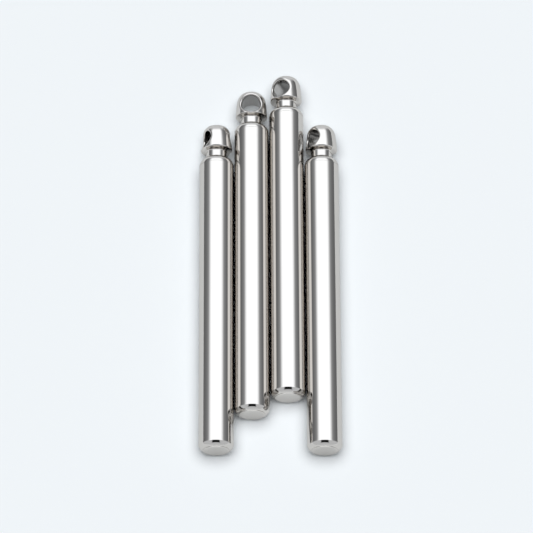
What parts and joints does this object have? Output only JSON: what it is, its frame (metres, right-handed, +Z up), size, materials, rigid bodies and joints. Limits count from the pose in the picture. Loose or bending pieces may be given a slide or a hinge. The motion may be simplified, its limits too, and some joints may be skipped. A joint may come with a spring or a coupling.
{
  "type": "screw-closed message capsules",
  "caption": "Slim polished-steel message capsules side by side: tube with pressed end plug, screw cap with drilled eyelet and seal, and a cartridge of blank letter rings on a rod.",
  "frame": {"origin": "middle of the set's footprint on the table, under the bounding box's centre", "axes": "+Z up from the table, +Y along the capsules towards their eyelets, +X across the set from capsule 1 to capsule 4"},
  "size_m": [0.0484, 0.1398, 0.012],
  "materials": {
    "polished_steel": "mirror-polished stainless steel",
    "satin_steel": "satin turned stainless steel, blank faces",
    "machined_steel": "as machined",
    "seal_rubber": "black nitrile rubber, slightly glossy"
  },
  "bodies": {
    "capsule_1": {"tube_1": "polished_steel", "end_plug_1": "polished_steel"},
    "cartridge_1": {"core_rod_1": "machined_steel", "letter_rings_1": "satin_steel"},
    "seal_1": {"o_ring_1": "seal_rubber"},
    "cap_1": {"eye_cap_1": "polished_steel"},
    "clamp_1": {"washer_1": "machined_steel"},
    "nut_1": {"lock_nut_1": "machined_steel"},
    "capsule_2": {"tube_2": "polished_steel", "end_plug_2": "polished_steel"},
    "cartridge_2": {"core_rod_2": "machined_steel", "letter_rings_2": "satin_steel"},
    "seal_2": {"o_ring_2": "seal_rubber"},
    "cap_2": {"eye_cap_2": "polished_steel"},
    "clamp_2": {"washer_2": "machined_steel"},
    "nut_2": {"lock_nut_2": "machined_steel"},
    "capsule_3": {"tube_3": "polished_steel", "end_plug_3": "polished_steel"},
    "cartridge_3": {"core_rod_3": "machined_steel", "letter_rings_3": "satin_steel"},
    "seal_3": {"o_ring_3": "seal_rubber"},
    "cap_3": {"eye_cap_3": "polished_steel"},
    "clamp_3": {"washer_3": "machined_steel"},
    "nut_3": {"lock_nut_3": "machined_steel"},
    "capsule_4": {"tube_4": "polished_steel", "end_plug_4": "polished_steel"},
    "cartridge_4": {"core_rod_4": "machined_steel", "letter_rings_4": "satin_steel"},
    "seal_4": {"o_ring_4": "seal_rubber"},
    "cap_4": {"eye_cap_4": "polished_steel"},
    "clamp_4": {"washer_4": "machined_steel"},
    "nut_4": {"lock_nut_4": "machined_steel"}
  },
  "joints": [
    {"name": "shift_2", "type": "slide", "parent": "capsule_1", "child": "capsule_2", "axis": [0, 1, 0], "range_m": [-0.0128, 0.02]},
    {"name": "shift_3", "type": "slide", "parent": "capsule_1", "child": "capsule_3", "axis": [0, 1, 0], "range_m": [-0.0189, 0.02]},
    {"name": "shift_4", "type": "slide", "parent": "capsule_1", "child": "capsule_4", "axis": [0, 1, 0], "range_m": [-0.02, 0.02]},
    {"name": "draw_1", "type": "slide", "parent": "capsule_1", "child": "cartridge_1", "axis": [0, 1, 0], "range_m": [0, 0.104]},
    {"name": "cap_travel_1", "type": "slide", "parent": "cartridge_1", "child": "seal_1", "axis": [0, 1, 0], "range_m": [0, 0.007]},
    {"name": "cap_turn_1", "type": "hinge", "parent": "seal_1", "child": "cap_1", "pos_m": [-0.01823, 0.03538, 0.006], "axis": [0, 1, 0], "range_deg": [0, 2521]},
    {"name": "nut_travel_1", "type": "slide", "parent": "cartridge_1", "child": "clamp_1", "axis": [0, 1, 0], "range_m": [0, 0.002]},
    {"name": "nut_turn_1", "type": "hinge", "parent": "clamp_1", "child": "nut_1", "pos_m": [-0.01823, 0.03538, 0.006], "axis": [0, 1, 0], "range_deg": [0, 1441]},
    {"name": "draw_2", "type": "slide", "parent": "capsule_2", "child": "cartridge_2", "axis": [0, 1, 0], "range_m": [0, 0.104]},
    {"name": "cap_travel_2", "type": "slide", "parent": "cartridge_2", "child": "seal_2", "axis": [0, 1, 0], "range_m": [0, 0.007]},
    {"name": "cap_turn_2", "type": "hinge", "parent": "seal_2", "child": "cap_2", "pos_m": [-0.00607, 0.04818, 0.006], "axis": [0, 1, 0], "range_deg": [0, 2521]},
    {"name": "nut_travel_2", "type": "slide", "parent": "cartridge_2", "child": "clamp_2", "axis": [0, 1, 0], "range_m": [0, 0.002]},
    {"name": "nut_turn_2", "type": "hinge", "parent": "clamp_2", "child": "nut_2", "pos_m": [-0.00607, 0.04818, 0.006], "axis": [0, 1, 0], "range_deg": [0, 1441]},
    {"name": "draw_3", "type": "slide", "parent": "capsule_3", "child": "cartridge_3", "axis": [0, 1, 0], "range_m": [0, 0.104]},
    {"name": "cap_travel_3", "type": "slide", "parent": "cartridge_3", "child": "seal_3", "axis": [0, 1, 0], "range_m": [0, 0.007]},
    {"name": "cap_turn_3", "type": "hinge", "parent": "seal_3", "child": "cap_3", "pos_m": [0.00607, 0.05428, 0.006], "axis": [0, 1, 0], "range_deg": [0, 2521]},
    {"name": "nut_travel_3", "type": "slide", "parent": "cartridge_3", "child": "clamp_3", "axis": [0, 1, 0], "range_m": [0, 0.002]},
    {"name": "nut_turn_3", "type": "hinge", "parent": "clamp_3", "child": "nut_3", "pos_m": [0.00607, 0.05428, 0.006], "axis": [0, 1, 0], "range_deg": [0, 1441]},
    {"name": "draw_4", "type": "slide", "parent": "capsule_4", "child": "cartridge_4", "axis": [0, 1, 0], "range_m": [0, 0.104]},
    {"name": "cap_travel_4", "type": "slide", "parent": "cartridge_4", "child": "seal_4", "axis": [0, 1, 0], "range_m": [0, 0.007]},
    {"name": "cap_turn_4", "type": "hinge", "parent": "seal_4", "child": "cap_4", "pos_m": [0.01823, 0.03518, 0.006], "axis": [0, 1, 0], "range_deg": [0, 2521]},
    {"name": "nut_travel_4", "type": "slide", "parent": "cartridge_4", "child": "clamp_4", "axis": [0, 1, 0], "range_m": [0, 0.002]},
    {"name": "nut_turn_4", "type": "hinge", "parent": "clamp_4", "child": "nut_4", "pos_m": [0.01823, 0.03518, 0.006], "axis": [0, 1, 0], "range_deg": [0, 1441]}
  ],
  "couplings": [
    {"joint": "cap_turn_1", "follows": "cap_travel_1", "rad_per_m": 6283.2},
    {"joint": "nut_turn_1", "follows": "nut_travel_1", "rad_per_m": 12566},
    {"joint": "cap_turn_2", "follows": "cap_travel_2", "rad_per_m": 6283.2},
    {"joint": "nut_turn_2", "follows": "nut_travel_2", "rad_per_m": 12566},
    {"joint": "cap_turn_3", "follows": "cap_travel_3", "rad_per_m": 6283.2},
    {"joint": "nut_turn_3", "follows": "nut_travel_3", "rad_per_m": 12566},
    {"joint": "cap_turn_4", "follows": "cap_travel_4", "rad_per_m": 6283.2},
    {"joint": "nut_turn_4", "follows": "nut_travel_4", "rad_per_m": 12566}
  ]
}
